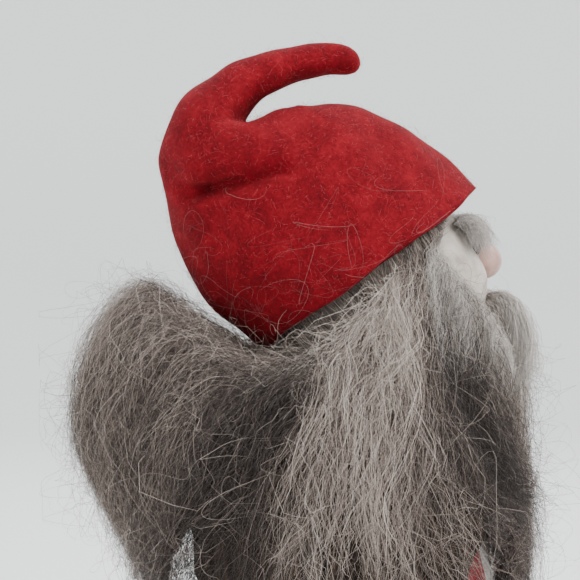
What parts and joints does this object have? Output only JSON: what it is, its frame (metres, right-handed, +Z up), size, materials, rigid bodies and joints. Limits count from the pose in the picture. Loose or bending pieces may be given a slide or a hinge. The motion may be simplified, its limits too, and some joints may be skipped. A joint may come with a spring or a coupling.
{
  "type": "tomte gnome figurine",
  "caption": "Standing gnome doll with a folded red felt cap, long grey wool hair and beard, a turning head and swinging arms.",
  "frame": {"origin": "centre of the underside of the wooden base disc, on the surface that the figure stands on", "axes": "+Z up, the face looks along -Y, the left hand is at +X"},
  "size_m": [0.156, 0.168, 0.2895],
  "materials": {
    "plywood": "sanded birch plywood",
    "turned_wood": "bare turned beech",
    "calico": "unbleached calico",
    "wadding": "white wool wadding",
    "pale_smock_cloth": "plain pale cotton",
    "red_felt_coat": "thick fulled wool felt",
    "red_felt_cap": "thick fulled wool felt, fuzzy",
    "belt_leather": "waxed leather",
    "buckle_brass": "brushed brass",
    "face_cloth": "pale stretched cotton jersey",
    "steel_wire": "drawn wire",
    "wig_cloth": "grey woven wig base",
    "grey_wool": "long salt-and-pepper wool fibres",
    "pale_wool": "short pale grey wool fibres",
    "sole_leather": "hard sole leather",
    "boot_felt": "thick grey-brown felt",
    "cuff_fleece": "short-pile fleece",
    "mitten_felt": "grey fulled wool",
    "eye_bead": "polished black glass bead"
  },
  "bodies": {
    "trunk": {"ballast_bag": "calico", "base_disc": "plywood", "belt": "belt_leather", "belt_buckle": "buckle_brass", "body_wadding": "wadding", "boot_left": "boot_felt", "boot_right": "boot_felt", "boot_sole_left": "sole_leather", "boot_sole_right": "sole_leather", "buckle_prong": "buckle_brass", "coat": "red_felt_coat", "collar": "red_felt_coat", "shoulder_block": "turned_wood", "shoulder_pin_left": "steel_wire", "shoulder_pin_right": "steel_wire", "smock": "pale_smock_cloth", "spine_dowel": "turned_wood"},
    "head": {"beard": "grey_wool", "eye_left": "eye_bead", "eye_right": "eye_bead", "eyebrow_left": "pale_wool", "eyebrow_right": "pale_wool", "face_cover": "face_cloth", "hair_back": "grey_wool", "hair_left": "grey_wool", "hair_right": "grey_wool", "head_core": "turned_wood", "moustache_left": "pale_wool", "moustache_right": "pale_wool", "neck_dowel": "turned_wood", "nose": "face_cloth", "wig_cap": "wig_cloth"},
    "cap": {"cap_felt": "red_felt_cap", "cap_wire": "steel_wire"},
    "arm_left": {"arm_disc_left": "turned_wood", "arm_wadding_left": "wadding", "cuff_left": "cuff_fleece", "mitten_left": "mitten_felt", "sleeve_left": "red_felt_coat"},
    "arm_right": {"arm_disc_right": "turned_wood", "arm_wadding_right": "wadding", "cuff_right": "cuff_fleece", "mitten_right": "mitten_felt", "sleeve_right": "red_felt_coat"}
  },
  "joints": [
    {"name": "head_turn", "type": "hinge", "parent": "trunk", "child": "head", "pos_m": [0, 0, 0.16], "axis": [0, 0, 1], "range_deg": [-20, 20]},
    {"name": "cap_lift", "type": "slide", "parent": "head", "child": "cap", "axis": [0, 0.5807, 0.8141], "range_m": [0, 0.11]},
    {"name": "arm_left_swing", "type": "hinge", "parent": "trunk", "child": "arm_left", "pos_m": [0.044, 0, 0.148], "axis": [1, 0, 0], "range_deg": [-30, 20]},
    {"name": "arm_right_swing", "type": "hinge", "parent": "trunk", "child": "arm_right", "pos_m": [-0.044, 0, 0.148], "axis": [1, 0, 0], "range_deg": [-30, 20]}
  ]
}
